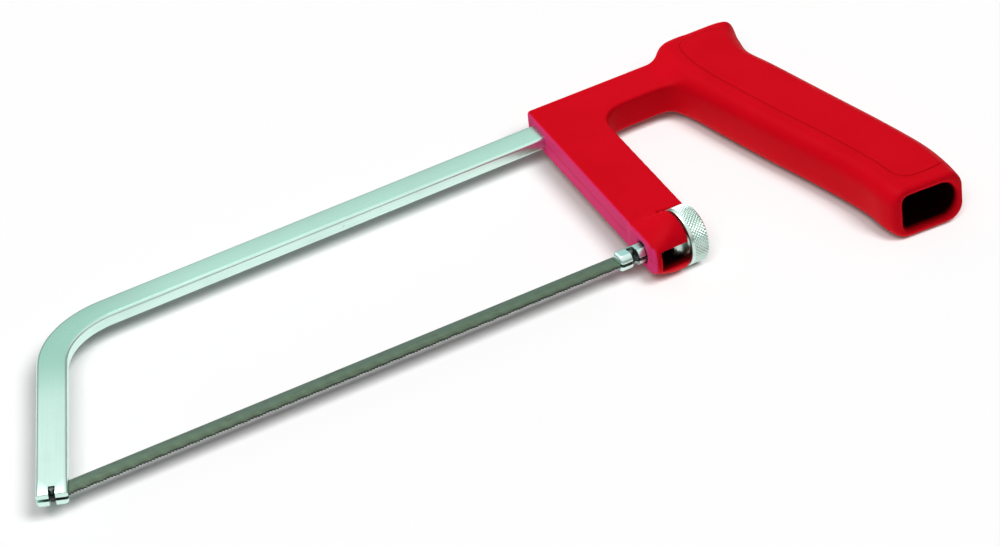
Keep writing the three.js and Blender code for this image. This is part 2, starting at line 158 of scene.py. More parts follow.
def make_bow():
    """The bar's rounded section carried along the leg, an arc of the bend's radius and the spine. It shrinks
    in a quarter round at the leg's end."""
    leg = np.array([np.sin(LEG_LEAN), np.cos(LEG_LEAN)])
    spine = np.array([np.cos(SPINE_SLOPE), np.sin(SPINE_SLOPE)])
    corner = leg * SPINE_Y / (leg[1] - leg[0] * np.tan(SPINE_SLOPE))
    turn = np.pi / 2 - LEG_LEAN - SPINE_SLOPE
    tangent = BEND_RADIUS * np.tan(turn / 2)
    leg_length = np.linalg.norm(corner) - tangent
    from_end = np.array(BAR_END_PLACES) * BAR_END_ROUND
    plain_leg = np.linspace(LEG_PLAIN_START, leg_length, LEG_STEPS)
    leg_places = np.concatenate([from_end - LEG_OVERHANG, plain_leg])
    spine_end = (TANG_END_X - corner[0]) / spine[0]
    spine_places = np.linspace(tangent, spine_end, SPINE_STEPS)
    bends = np.linspace(0, turn, BEND_STEPS)[1:-1]
    inward = np.array([leg[1], -leg[0]])
    arc = leg * leg_length + BEND_RADIUS * (
        np.sin(bends)[:, None] * leg + (1 - np.cos(bends))[:, None] * inward)
    line = np.concatenate([leg_places[:, None] * leg, arc, corner + spine_places[:, None] * spine])
    headings = np.concatenate([
        np.full(len(leg_places), np.pi / 2 - LEG_LEAN),
        np.pi / 2 - LEG_LEAN - bends,
        np.full(len(spine_places), SPINE_SLOPE)])
    inset = np.zeros(len(line))
    inset[: len(BAR_END_INSETS)] = BAR_END_ROUND * np.array(BAR_END_INSETS)
    ring = rounded_ring(BAR_WIDTH / 2, BAR_THICKNESS / 2, BAR_EDGE_RADIUS, BAR_EDGE_STEPS)
    across = ring[:, 0] * (1 - 2 * inset[:, None] / BAR_WIDTH)
    upward = ring[:, 1] * (1 - 2 * inset[:, None] / BAR_THICKNESS)
    points = np.stack([
        line[:, :1] - np.sin(headings)[:, None] * across,
        line[:, 1:] + np.cos(headings)[:, None] * across,
        upward], -1)
    rows, count = upward.shape
    made = make_piece("bow_bar", points.reshape(-1, 3), ring_faces(rows, count), *end_faces(rows, count))
    steps = np.linalg.norm(np.diff(line, axis=0), axis=1)
    along = np.concatenate([[0], np.cumsum(steps)]) / STREAK_LENGTH
    girth = np.linalg.norm(np.diff(ring, axis=0, append=ring[:1]), axis=1)
    around = np.concatenate([[0], np.cumsum(girth)]) / STREAK_LENGTH
    uv = np.zeros((rows - 1, count, 4, 2))
    uv[..., 0] = np.stack([along[:-1], along[:-1], along[1:], along[1:]], -1)[:, None]
    uv[..., 1] = np.stack([around[:-1], around[1:], around[1:], around[:-1]], -1)
    layer = made.data.uv_layers.new(name="bar")
    ends = np.zeros((2 * count, 2))
    layer.data.foreach_set("uv", np.concatenate([uv.reshape(-1, 2), ends]).astype(np.float32).ravel())
    kerf = block([-BAR_WIDTH, BAR_WIDTH], [-LEG_OVERHANG - CUT_PAST, LEG_KERF_DEPTH - LEG_OVERHANG],
                 [-LEG_KERF / 2, LEG_KERF / 2], LEG_LEAN)
    slot = block([-LEG_PIN_SLOT / 2, LEG_PIN_SLOT / 2],
                 [-LEG_OVERHANG - CUT_PAST, LEG_PIN_SLOT_DEPTH - LEG_OVERHANG],
                 [-BAR_THICKNESS, BAR_THICKNESS], LEG_LEAN)
    cut(made, kerf, slot)
    return made


class Value:
    """One output of a node in a finish. Arithmetic on it adds Math nodes."""

    def __init__(self, finish, output):
        self.finish = finish
        self.output = output

    def maths(self, operation, first, second):
        """A Math node on two values or numbers."""
        return self.finish.node("ShaderNodeMath", {"operation": operation}, {0: first, 1: second})

    def __add__(self, other):
        return self.maths("ADD", self, other)

    def __radd__(self, other):
        return self.maths("ADD", other, self)

    def __sub__(self, other):
        return self.maths("SUBTRACT", self, other)

    def __rsub__(self, other):
        return self.maths("SUBTRACT", other, self)

    def __mul__(self, other):
        return self.maths("MULTIPLY", self, other)

    def __rmul__(self, other):
        return self.maths("MULTIPLY", other, self)

    def __abs__(self):
        return self.maths("ABSOLUTE", self, 0)

    def ramp(self, start, end):
        """0 at start, 1 at end, and an S-shaped curve between."""
        settings = {"interpolation_type": "SMOOTHSTEP"}
        return self.finish.node("ShaderNodeMapRange", settings, {0: self, 1: start, 2: end})


class Finish:
    """A material and its nodes."""

    def __init__(self, name):
        self.material = bpy.data.materials.new(name)
        self.material.use_nodes = True
        self.material.node_tree.nodes.clear()

    def node(self, kind, settings=(), sockets=(), out=0):
        """Adds a node with its settings and its sockets' values or links, and returns one of its outputs."""
        tree = self.material.node_tree
        made = tree.nodes.new(kind)
        for key, value in dict(settings).items():
            setattr(made, key, value)
        for key, value in dict(sockets).items():
            if isinstance(value, Value):
                tree.links.new(value.output, made.inputs[key])
            else:
                made.inputs[key].default_value = value
        return Value(self, made.outputs[out]) if len(made.outputs) else None

    def place(self):
        """The place on the piece, in metres."""
        return self.node("ShaderNodeTexCoord", {}, {}, "Object")

    def measure(self, place, axis):
        """One of a place's three measures."""
        return self.node("ShaderNodeSeparateXYZ", {}, {0: place}, axis)

    def from_pin(self, axis):
        """How far along an axis a place on the piece lies from the front pin, in millimetres."""
        return (self.measure(self.place(), axis) - float(front_pin["XYZ".index(axis)])) * (1 / MM)

    def attribute(self, name):
        """A value that the mesh carries at its points."""
        return self.node("ShaderNodeAttribute", {"attribute_name": name}, {}, "Fac")

    def noise(self, place, scale, detail, stretch=(1, 1, 1)):
        """Cloudy noise from 0 to 1 at a place that is first stretched, finer as the scale grows."""
        stretched = self.node("ShaderNodeMapping", {}, {"Vector": place, "Scale": stretch})
        return self.node("ShaderNodeTexNoise", {}, {"Vector": stretched, "Scale": scale, "Detail": detail})

    def blend(self, first, second, share):
        """The first colour turning into the second as the share goes from 0 to 1."""
        first, second = (tint if isinstance(tint, Value) else (*tint, 1) for tint in (first, second))
        return self.node("ShaderNodeMix", {"data_type": "RGBA"}, {0: share, 6: first, 7: second}, 2)

    def bump(self, height, depth):
        """Tilts the normal as if the surface rose by the depth in millimetres where the height is 1."""
        return self.node("ShaderNodeBump", {}, {"Strength": 1.0, "Distance": depth * MM, "Height": height})

    def close(self, **sockets):
        """Ends the nodes in one shader, whose sockets are named with low lines for spaces."""
        named = {key.replace("_", " "): value for key, value in sockets.items()}
        shader = self.node("ShaderNodeBsdfPrincipled", {}, named)
        self.node("ShaderNodeOutputMaterial", {}, {"Surface": shader})
        return self.material


def plated_bar():
    """Zinc plate over drawn bar, with streaks along the bar, soft patches and a few specks. Its colour also
    holds
    a painted reflection: bright on the edges and the leg, darker on the flats towards the spine and most in
    the bend."""
    finish = Finish("plated_bar")
    along = finish.node("ShaderNodeUVMap", {"uv_map": "bar"})
    streak = finish.noise(along, 1, 5, BAR_STREAKS)
    hairline = finish.noise(along, 1, 3, BAR_HAIRLINES)
    patch = finish.noise(finish.place(), BAR_PATCHES, 3)
    speck = finish.noise(finish.place(), BAR_SPECKS, 2).ramp(*BAR_SPECK_RANGE)
    flat = abs(finish.from_pin("Z")).ramp(*BAR_FLAT_RISE)
    run = finish.measure(along, "X")
    spine_reflection = run.ramp(*SPINE_REFLECTION_RUN)
    bend_reflection = run.ramp(*BEND_REFLECTION_RUN_IN) * (1 - run.ramp(*BEND_REFLECTION_RUN_OUT))
    dull = patch.ramp(0.45, 0.75) * 0.25 + streak.ramp(0.35, 0.8) * 0.25 + speck * 0.5
    # Painted reflection: the flats darken towards the spine and most in the bend.
    color = finish.blend(EDGE_TINT, FLAT_PAINTED_REFLECTION_TINT, flat * (0.1 + spine_reflection * 0.9))
    color = finish.blend(color, BEND_PAINTED_REFLECTION_TINT, flat * bend_reflection)
    color = finish.blend(color, DULL_TINT, dull)
    rough = 0.2 + streak * 0.1 + patch * 0.08 + speck * 0.15
    normal = finish.bump(hairline + streak * 0.5, BAR_HAIRLINE_DEPTH)
    return finish.close(Base_Color=color, Metallic=1.0, Roughness=rough, Normal=normal)


bow = make_bow()
bow.data.materials.append(plated_bar())
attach(bow, "frame")
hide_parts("bow")

# The handle is one red plastic moulding on the bow's tang: a flat post and bridge round the finger gap, a
# flaring collar that carries the stud, and a thicker grip that is cored out from its open butt.
# It is shaped as a field, negative inside the plastic, and skinned where the field is nought.
GRID_STEP = 0.45
GRID_LOW = np.array([151.2, -29.4, -8.1])
GRID_HIGH = np.array([229.5, 73.2, 8.1])
PLATE_HALF = 3.8
PLATE_EDGE = 0.7
POST_SLANT = np.tan(np.radians(7.2))
POST_FRONT_X = 153.6
POST_WIDTH = 14.8
POST_FOOT_Y = -4
BRIDGE_TOP_Y = 66.5
BRIDGE_CORNER = 0.9
BRIDGE_REACH = 8
ARCH_Y = 54.6
ARCH_FRONT_RADIUS = 8.5
ARCH_REAR_RADIUS = 6.5
ARCH_REAR_X = 198.6
ARCH_GRIP_LAP = 4
STEP_X = (196.5, 208)
STEP_TOP_Y = 68.2
STEP_EASE = 4.5
GRIP_FRONT = np.array([[206.9, -25.7], [206.2, -21], [206.4, -11], [204.6, 5], [201.9, 22],
                       [199.2, 42], [198.2, 53], [198.9, 61.5], [201.4, 68]])
GRIP_BACK = np.array([[225.8, -26.7], [227.1, -19], [227.5, -9.5], [226.1, 5], [223.8, 22],
                      [220.9, 43.5], [219.4, 53.4], [221, 60.8], [222.9, 66.8]])
GRIP_TOP_Y = 70.2
GRIP_TOP_EASE_Y = (61, 69)
GRIP_FRONT_CORNER = (1.2, 5)
GRIP_BACK_CORNER = (-6.5, 0.6)
GRIP_TURN = (0.3, 0.7)
GRIP_HALF = 6.6
GRIP_NOSE = (3.9, 4.2)
GRIP_BACK_ROUND = (4.4, 4.4)
GRIP_TOP_ROUND = 3
BUTT_ROUND = 1.6
BUTT_PAST = 4
HOLLOW_WALLS = (2.6, 1.9)
HOLLOW_HALF = 4.5
HOLLOW_ROUNDS = (1.6, 4.2)
HOLLOW_TOP_Y = 48
GRIP_FILLET = 4
COLLAR_RADIUS = 7.2
COLLAR_REAR_X = 162.3
COLLAR_LEAST_LENGTH = 1
COLLAR_FLARE = 10
COLLAR_FLARE_POWER = 1.2
COLLAR_EDGE = 1.3
COLLAR_BARREL = 2.5
COLLAR_FILLET = 1.6
STUD_BORE_RADIUS = 2.5
CHANNEL_HALF = 2.5
CHANNEL_FRONT_X = 154.6
HUB_SEAT_RADIUS = 4.6
HUB_SEAT_X = 159.4
NUT_ROOM_RADIUS = 7.8
NUT_ROOM_END_X = 167.9
POST_UNDERCUT = 0.33
WINDOW_EDGE = 0.5
PANEL_INSET = (5.6, 1.5)
PANEL_ENDS_Y = (-21.5, 66)
PANEL_CORNER = 5
PANEL_TOP_SPREAD = 0.5
PANEL_RISE = 0.12
PANEL_EASE = 0.25
CHEEK_EDGE = (GRIP_HALF - 0.5, GRIP_HALF - 0.1)
HANDLE_CREASE = 60
# Where the post's front takes its painted sheen, and where the hollow and window take painted shade.
SHEEN_FACING = (0.5, 0.9)
SHEEN_END_X = (164, 162.5)
HOLLOW_SKIN = (0.6, 0.1)
HOLLOW_SHADE_DEPTH = (0.6, 2.2)
WINDOW_SKIN = (0.4, 0.1)
WINDOW_SHADE_RADII = (COLLAR_RADIUS, 5)
FAR_FROM_LINE = 9
# Width of the painted shade along the panel's groove.
PANEL_GROOVE_SHADE_WIDTH = (0.08, 0.30)
PARTING_LINE = (0.05, 0.22)
FLOW_MARKS = 70
PLASTIC_GRAIN = 2600
GRAIN_DEPTH = 0.03
SCUFF_STRETCH = (300, 60, 300)
SCUFF_RANGE = (0.66, 0.74)
RED = (0.73, 0.0022, 0.012)
RED_DEEP = (0.52, 0.001, 0.004)
# The colour of the painted shade in the hollow and window, and of the painted sheen on the post's front.
INSIDE_SHADE_RED = (0.025, 0.0005, 0.001)
PAINTED_SHEEN_TINT = (0.80, 0.055, 0.24)


def bezier(*controls, steps=12):
    """Points along a curve drawn from the first control to the last towards those between."""
    share = np.linspace(0, 1, steps)[:, None]
    points = [np.array(control, float)[None] for control in controls]
    while len(points) > 1:
        points = [(1 - share) * first + share * second for first, second in zip(points, points[1:])]
    return points[0]


def smooth_line(points, steps=10):
    """A smooth line through points: cubics whose slope at each is half the step between its neighbours."""
    before, after = 2 * points[0] - points[1], 2 * points[-1] - points[-2]
    held = np.concatenate([[before], points, [after]])[:, None]
    a, b, c, d = held[:-3], held[1:-2], held[2:-1], held[3:]
    t = np.linspace(0, 1, steps, endpoint=False)[:, None]
    bent = (b + t * (c - a) / 2 + t ** 2 * (a - 2.5 * b + 2 * c - d / 2)
            + t ** 3 * (1.5 * (b - c) + (d - a) / 2))
    return np.concatenate([bent.reshape(-1, 2), points[-1:]])


def line_distance(line, x, y):
    """Flat distance from each place to the nearest of a line's straight pieces."""
    nearest = np.full(np.broadcast(x, y).shape, np.inf)
    for (ax, ay), (bx, by) in zip(line[:-1], line[1:]):
        along_x, along_y = bx - ax, by - ay
        length_squared = max(along_x ** 2 + along_y ** 2, 1e-9)
        share = np.clip(((x - ax) * along_x + (y - ay) * along_y) / length_squared, 0, 1)
        nearest = np.minimum(nearest, (x - ax - share * along_x) ** 2 + (y - ay - share * along_y) ** 2)
    return np.sqrt(nearest)


def outline_distance(outline, x, y):
    """Distance to a closed outline, negative inside, where a level ray to the right crosses it an odd number
    of times."""
    closed = np.concatenate([outline, outline[:1]])
    inside = np.zeros(np.broadcast(x, y).shape, bool)
    for (ax, ay), (bx, by) in zip(closed[:-1], closed[1:]):
        if ay != by:
            inside ^= ((ay > y) != (by > y)) & (x < ax + (y - ay) * (bx - ax) / (by - ay))
    return np.where(inside, -1, 1) * line_distance(closed, x, y)


def smooth_step(start, end, value):
    """0 before start, 1 after end, and an S-shaped cubic between."""
    share = np.clip((value - start) / (end - start), 0, 1)
    return share * share * (3 - 2 * share)


def rounded_slab(edge, z, half, flat_round, rise_round):
    """Field of a slab over an outline, whose rim is a quarter ellipse of the two rounds."""
    inward = np.maximum(edge + flat_round, 0) / flat_round
    upward = np.maximum(np.abs(z) - half + rise_round, 0) / rise_round
    return (np.hypot(inward, upward) - 1) * (flat_round + rise_round) / 2


def melt(first, second, reach):
    """Union of two fields: the lesser, lowered by a parabola where they differ by less than the reach."""
    near = np.clip(1 - np.abs(first - second) / reach, 0, 1)
    return np.minimum(first, second) - reach / 4 * near * near


def keep(first, second, reach):
    """What two fields have in common, with its edge rounded over the reach."""
    return -melt(-first, -second, reach)


def carve(body, tool, reach):
    """The body without the tool, with the edges of the cut rounded over the reach."""
    return -melt(-body, tool, reach)


def post_front(y):
    """The post's front edge at a height: a straight line at the post's slant."""
    return POST_FRONT_X + POST_SLANT * y


def post_rear(y):
    """The post's rear edge at a height: the front edge moved back by the post's width."""
    return post_front(y) + POST_WIDTH


def plate_outline():
    """Round the post and the bridge: up the post's front, along the bridge and back under the arch."""
    bend_y = ARCH_Y - ARCH_FRONT_RADIUS
    end_x = ARCH_REAR_X + BRIDGE_REACH
    front_arch = bezier((post_rear(bend_y), bend_y), (post_rear(ARCH_Y), ARCH_Y),
                        (post_rear(ARCH_Y) + ARCH_FRONT_RADIUS, ARCH_Y))
    rear_arch = bezier((ARCH_REAR_X - ARCH_REAR_RADIUS, ARCH_Y), (ARCH_REAR_X, ARCH_Y),
                       (ARCH_REAR_X + ARCH_GRIP_LAP, ARCH_Y - ARCH_REAR_RADIUS))
    step = bezier((STEP_X[1], STEP_TOP_Y), (STEP_X[1] - STEP_EASE, STEP_TOP_Y),
                  (STEP_X[0] + STEP_EASE, BRIDGE_TOP_Y), (STEP_X[0], BRIDGE_TOP_Y))
    corner_y = BRIDGE_TOP_Y - BRIDGE_CORNER
    corner = bezier((post_front(BRIDGE_TOP_Y) + BRIDGE_CORNER, BRIDGE_TOP_Y),
                    (post_front(BRIDGE_TOP_Y), BRIDGE_TOP_Y), (post_front(corner_y), corner_y))
    foot = [(post_front(POST_FOOT_Y), POST_FOOT_Y), (post_rear(POST_FOOT_Y), POST_FOOT_Y)]
    end = [(end_x, ARCH_Y - ARCH_REAR_RADIUS), (end_x, STEP_TOP_Y)]
    return np.concatenate([foot, front_arch, rear_arch, end, step, corner])


grip_front_line = smooth_line(GRIP_FRONT)
grip_back_line = smooth_line(GRIP_BACK)


def grip_outline():
    """Up the grip's front edge, over its top and down its back edge, and past the butt."""
    front_top, back_top = GRIP_FRONT[-1], GRIP_BACK[-1]
    front_corner = bezier(front_top, *[(front_top[0] + reach, GRIP_TOP_Y) for reach in GRIP_FRONT_CORNER])
    back_corner = bezier(*[(back_top[0] + reach, GRIP_TOP_Y) for reach in GRIP_BACK_CORNER], back_top)
    past = np.array([0, -BUTT_PAST])
    return np.concatenate([[GRIP_FRONT[0] + past], grip_front_line, front_corner, back_corner,
                           grip_back_line[::-1], [GRIP_BACK[0] + past]])


def past_butt(x, y):
    """How far a place is below the slanting plane of the butt."""
    across = GRIP_BACK[0] - GRIP_FRONT[0]
    outward = np.array([across[1], -across[0]]) / np.linalg.norm(across)
    return (x - GRIP_FRONT[0][0]) * outward[0] + (y - GRIP_FRONT[0][1]) * outward[1]


def backward_share(x, y):
    """0 along the grip's front, 1 along its back, and an S-shaped cubic over the middle of its width."""
    to_front = line_distance(grip_front_line, x, y)
    to_back = line_distance(grip_back_line, x, y)
    return smooth_step(*GRIP_TURN, to_front / (to_front + to_back))


def hollow_field(x, y, z):
    """The grip's hollow: in from the front and back edges by the walls, with rounder corners at the back."""
    outside = np.sign(outline_distance(grip_outline(), x, y))
    from_front = HOLLOW_WALLS[0] + outside * line_distance(grip_front_line, x, y)
    from_back = HOLLOW_WALLS[1] + outside * line_distance(grip_back_line, x, y)
    edge = np.maximum(np.maximum(from_front, from_back), y - HOLLOW_TOP_Y)
    corner = HOLLOW_ROUNDS[0] + (HOLLOW_ROUNDS[1] - HOLLOW_ROUNDS[0]) * backward_share(x, y)
    return rounded_slab(edge, z, HOLLOW_HALF, corner, corner)


def window_field(x, y, z):
    """What is cut out of the collar: the stud's bore, the nut hub's seat and the channel below them."""
    from_axis = np.hypot(y, z)
    past_rear = x - COLLAR_REAR_X - CUT_PAST
    bore = np.maximum(from_axis - STUD_BORE_RADIUS, past_rear)
    seat = np.maximum(from_axis - HUB_SEAT_RADIUS, np.maximum(HUB_SEAT_X - x, past_rear))
    channel = np.maximum(np.maximum(np.abs(z) - CHANNEL_HALF, y), np.maximum(CHANNEL_FRONT_X - x, past_rear))
    return np.minimum(bore, np.minimum(seat, channel))


def handle_field(x, y, z):
    """The field of the whole moulding, in millimetres near its surface: plate, grip and collar melted
    together, less the nut's room, the slant under the post, the collar's window, what is past the butt and
    the hollow."""
    plate = rounded_slab(outline_distance(plate_outline(), x, y), z, PLATE_HALF, PLATE_EDGE, PLATE_EDGE)

    backward = backward_share(x, y)
    topward = smooth_step(*GRIP_TOP_EASE_Y, y)
    rounds = [nose + (back - nose) * backward for nose, back in zip(GRIP_NOSE, GRIP_BACK_ROUND)]
    rounds = [side + (GRIP_TOP_ROUND - side) * topward for side in rounds]
    grip = rounded_slab(outline_distance(grip_outline(), x, y), z, GRIP_HALF, *rounds)
    body = melt(plate, grip, GRIP_FILLET)

    collar_length = np.maximum(COLLAR_REAR_X - post_front(y), COLLAR_LEAST_LENGTH)
    share = np.clip((x - post_front(y)) / collar_length, 0, 1)
    flare = PLATE_HALF + (COLLAR_FLARE - PLATE_HALF) * share ** COLLAR_FLARE_POWER
    from_axis = np.hypot(y, z)
    collar = keep(from_axis - COLLAR_RADIUS, np.abs(z) - flare, COLLAR_BARREL)
    collar = keep(collar, post_front(y) - x, COLLAR_EDGE)
    collar = keep(collar, x - COLLAR_REAR_X, WINDOW_EDGE)
    body = melt(body, collar, COLLAR_FILLET)
    behind_collar = np.maximum(COLLAR_REAR_X - x, x - post_rear(BRIDGE_TOP_Y))
    under_post = y - NUT_ROOM_RADIUS + POST_UNDERCUT * (x - COLLAR_REAR_X)
    nut_room = np.maximum(np.maximum(from_axis - NUT_ROOM_RADIUS, x - NUT_ROOM_END_X), COLLAR_REAR_X - x)
    body = carve(body, nut_room, WINDOW_EDGE)
    body = carve(body, np.maximum(under_post, behind_collar), WINDOW_EDGE)
    body = carve(body, window_field(x, y, z), WINDOW_EDGE)
    body = keep(body, past_butt(x, y), BUTT_ROUND)
    return carve(body, hollow_field(x, y, z), BUTT_ROUND)


def skin_of(field, low, step):
    """The surface where a grid's field is nought. Each cell that it crosses has one point, the mean of the
    crossings on the cell's edges, and each crossed edge has a face between the points of its four cells."""
    cells = tuple(np.array(field.shape) - 1)
    total = np.zeros((*cells, 3))
    count = np.zeros(cells)
    crossings = []
    for axis in range(3):
        first = field.take(range(cells[axis]), axis)
        second = field.take(range(1, cells[axis] + 1), axis)
        crossed = (first < 0) != (second < 0)
        share = np.where(crossed, first / np.where(crossed, first - second, 1), 0)
        crossings.append((crossed, first < 0))
        one, two = (axis + 1) % 3, (axis + 2) % 3
        for step_one in (0, 1):
            for step_two in (0, 1):
                window = [slice(None)] * 3
                window[one] = slice(step_one, step_one + cells[one])
                window[two] = slice(step_two, step_two + cells[two])
                hit = crossed[tuple(window)]
                total[..., axis] += share[tuple(window)]
                total[..., one] += step_one * hit
                total[..., two] += step_two * hit
                count += hit
    used = count > 0
    number = np.cumsum(used).reshape(cells) - 1
    points = (np.argwhere(used) + total[used] / count[used][:, None]) * step + low
    faces = []
    for axis, (crossed, rising) in enumerate(crossings):
        one, two = (axis + 1) % 3, (axis + 2) % 3
        window = [slice(None)] * 3
        window[one] = slice(1, cells[one])
        window[two] = slice(1, cells[two])
        around = []
        for step_one, step_two in ((-1, -1), (0, -1), (0, 0), (-1, 0)):
            shifted = list(window)
            shifted[one] = slice(1 + step_one, cells[one] + step_one)
            shifted[two] = slice(1 + step_two, cells[two] + step_two)
            around.append(number[tuple(shifted)])
        quads = np.stack(around, -1)
        hit = crossed[tuple(window)]
        up = rising[tuple(window)]
        faces += [quads[hit & up], quads[hit & ~up][:, ::-1]]
    return points, np.concatenate(faces)


def panel_outline():
    """The panel on a cheek: along the grip's edges at the two insets, and round at the corners."""
    bottom, top = PANEL_ENDS_Y
    inside = []
    for line, inset in ((grip_front_line, PANEL_INSET[0]), (grip_back_line, -PANEL_INSET[1])):
        height = line[:, 1]
        kept = line[(height > bottom + PANEL_CORNER) & (height < top - PANEL_CORNER)]
        inside.append(kept + [inset, 0])
    front, back = inside
    front_top, back_top = front[-1], back[-1]
    front_low, back_low = front[0], back[0]
    return np.concatenate([
        front,
        bezier(front_top, (front_top[0] + PANEL_TOP_SPREAD, top), (front_top[0] + PANEL_CORNER, top)),
        bezier((back_top[0] - PANEL_CORNER, top), (back_top[0] + PANEL_TOP_SPREAD, top), back_top),
        back[::-1],
        bezier(back_low, (back_low[0], bottom), (back_low[0] - PANEL_CORNER, bottom)),
        bezier((front_low[0] + PANEL_CORNER, bottom), (front_low[0], bottom), front_low)])


def make_handle():
    """The skin of the handle's field on a grid, with its cheeks raised within the panel's outline. Its
    points carry their distance from the panel's line, the share of the post's front that takes a painted
    sheen, and the share of the hollow and window that takes painted shade."""
    axes = [np.arange(start, end, GRID_STEP) for start, end in zip(GRID_LOW, GRID_HIGH)]
    x, y, z = np.meshgrid(*axes, indexing="ij", sparse=True)
    points, faces = skin_of(handle_field(x, y, z), GRID_LOW, GRID_STEP)
    to_panel = outline_distance(panel_outline(), points[:, 0], points[:, 1])
    on_cheek = smooth_step(*CHEEK_EDGE, np.abs(points[:, 2]))
    within = smooth_step(PANEL_EASE, -PANEL_EASE, to_panel)
    points[:, 2] += np.sign(points[:, 2]) * on_cheek * PANEL_RISE * within
    made = make_piece("handle_moulding", points, faces, crease=HANDLE_CREASE)
    normals = np.empty(points.size, np.float32)
    made.data.vertex_normals.foreach_get("vector", normals)
    x, y, z = points.T
    # Where the post's front faces forward it takes a painted sheen, a reflection coloured in.
    forward = smooth_step(*SHEEN_FACING, -normals[0::3]) * smooth_step(*SHEEN_END_X, x)
    # The hollow past its rim and the window near the axis take painted shade.
    past_rim = smooth_step(*HOLLOW_SHADE_DEPTH, -past_butt(x, y))
    hollow_shade = smooth_step(*HOLLOW_SKIN, hollow_field(x, y, z)) * past_rim
    near_axis = smooth_step(*WINDOW_SHADE_RADII, np.hypot(y, z))
    window_shade = smooth_step(*WINDOW_SKIN, window_field(x, y, z)) * near_axis
    off_cheek = np.where(to_panel > 0, FAR_FROM_LINE, -FAR_FROM_LINE) * (1 - on_cheek)
    carried = {"from_panel_line": to_panel + off_cheek, "painted_sheen_on_post_front": forward,
               "inside": np.maximum(hollow_shade, window_shade)}
    for name, values in carried.items():
        layer = made.data.attributes.new(name, "FLOAT", "POINT")
        layer.data.foreach_set("value", values.astype(np.float32))
    return made


def red_plastic():
    """Satin red moulding: fine grain, faint flow marks and scuffs. The fine dark line round the cheek's
    panel is painted shade in its groove. The post's front is painted pinker, a painted sheen, with a parting
    line down its middle, and the hollow and window are darkened as painted shade."""
    finish = Finish("red_plastic")
    place = finish.place()
    flow = finish.noise(place, FLOW_MARKS, 3)
    grain = finish.noise(place, PLASTIC_GRAIN, 3)
    scuff = finish.noise(place, 3, 4, SCUFF_STRETCH).ramp(*SCUFF_RANGE)
    line = 1 - abs(finish.attribute("from_panel_line")).ramp(*PANEL_GROOVE_SHADE_WIDTH)
    inside = finish.attribute("inside")
    painted_sheen = finish.attribute("painted_sheen_on_post_front")
    parting = painted_sheen * (1 - abs(finish.from_pin("Z")).ramp(*PARTING_LINE))
    # The line round the panel is darkened as painted shade in its groove; the flow marks are the moulding's
    # own colour.
    color = finish.blend(RED, RED_DEEP, flow.ramp(0.3, 0.8) * 0.25 + line * 0.75)
    # The post's front is painted pinker: a painted sheen.
    color = finish.blend(color, PAINTED_SHEEN_TINT, painted_sheen * 0.75)
    color = finish.blend(color, RED_DEEP, parting * 0.45)
    # The hollow and the window are darkened as painted shade.
    color = finish.blend(color, INSIDE_SHADE_RED, inside)
    rough = 0.40 + flow * 0.08 + grain * 0.06 + scuff * 0.12
    normal = finish.bump(grain * 0.5 - line * 3 + parting * 2, GRAIN_DEPTH)
    return finish.close(Base_Color=color, Roughness=rough, Normal=normal, Specular_IOR_Level=0.02)


handle = make_handle()
handle.data.materials.append(red_plastic())
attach(handle, "frame")
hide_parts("handle")

# The nut is turned from steel bar and zinc plated. It sits in the handle's window with its hub against the
# collar, dished in front, smooth on the front of its rim and diamond knurled behind.
NUT_X = (162.6, 167.6)
NUT_RADIUS = 7.05
NUT_BEVEL = 0.35
NUT_BEVEL_BULGE = 0.3 * NUT_BEVEL
NUT_RIM = 0.6
NUT_CREASE = 30
KNURL_DEPTH = 0.3
KNURL_COUNT = 52
KNURL_PITCH = 0.9
POINTS_IN_KNURL = 6
KNURL_ROWS = 26
KNURL_LEAD = 0.05
KNURL_BAND = (6.8, 6.95)
HUB_X = 159.7
HUB_RADIUS = 4.2
HUB_BEVEL = 0.5
HUB_FILLET = 0.3
DISH_RADIUS = 6.0
DISH_DEPTH = 1
DISH_FILLET = 0.4
DISH_BEVEL = 0.15
NUT_BORE_RADIUS = 2.25
NUT_CLOUDS = 500
NUT_TINT = (0.63, 0.80, 0.73)
NUT_TINT_LOW = (0.20, 0.29, 0.25)


